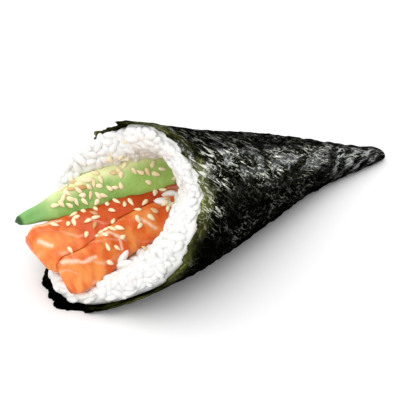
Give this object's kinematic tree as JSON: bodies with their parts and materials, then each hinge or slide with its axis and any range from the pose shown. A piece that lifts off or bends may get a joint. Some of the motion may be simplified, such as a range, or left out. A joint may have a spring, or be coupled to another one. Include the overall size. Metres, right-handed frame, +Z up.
{
  "type": "temaki hand roll",
  "caption": "Salmon and avocado hand roll: a cone of rolled seaweed lying on its side, filled with rice, strips of salmon and a slice of avocado, with sesame seeds.",
  "frame": {"origin": "middle of the footprint, on the surface it lies on", "axes": "+X along the roll, from its open mouth to its thin tail; +Z up; -Y the side the fillings face"},
  "size_m": [0.1464, 0.0612, 0.0516],
  "materials": {
    "seaweed": "dry, crinkled sheet with a soft sheen",
    "rice": "moist, slightly translucent",
    "salmon": "moist, with pale lines of fat",
    "avocado": "soft, slightly moist"
  },
  "bodies": {
    "root": {"seaweed_sheet": "seaweed", "rice": "rice", "salmon_front": "salmon", "salmon_back": "salmon", "avocado": "avocado"}
  },
  "joints": []
}
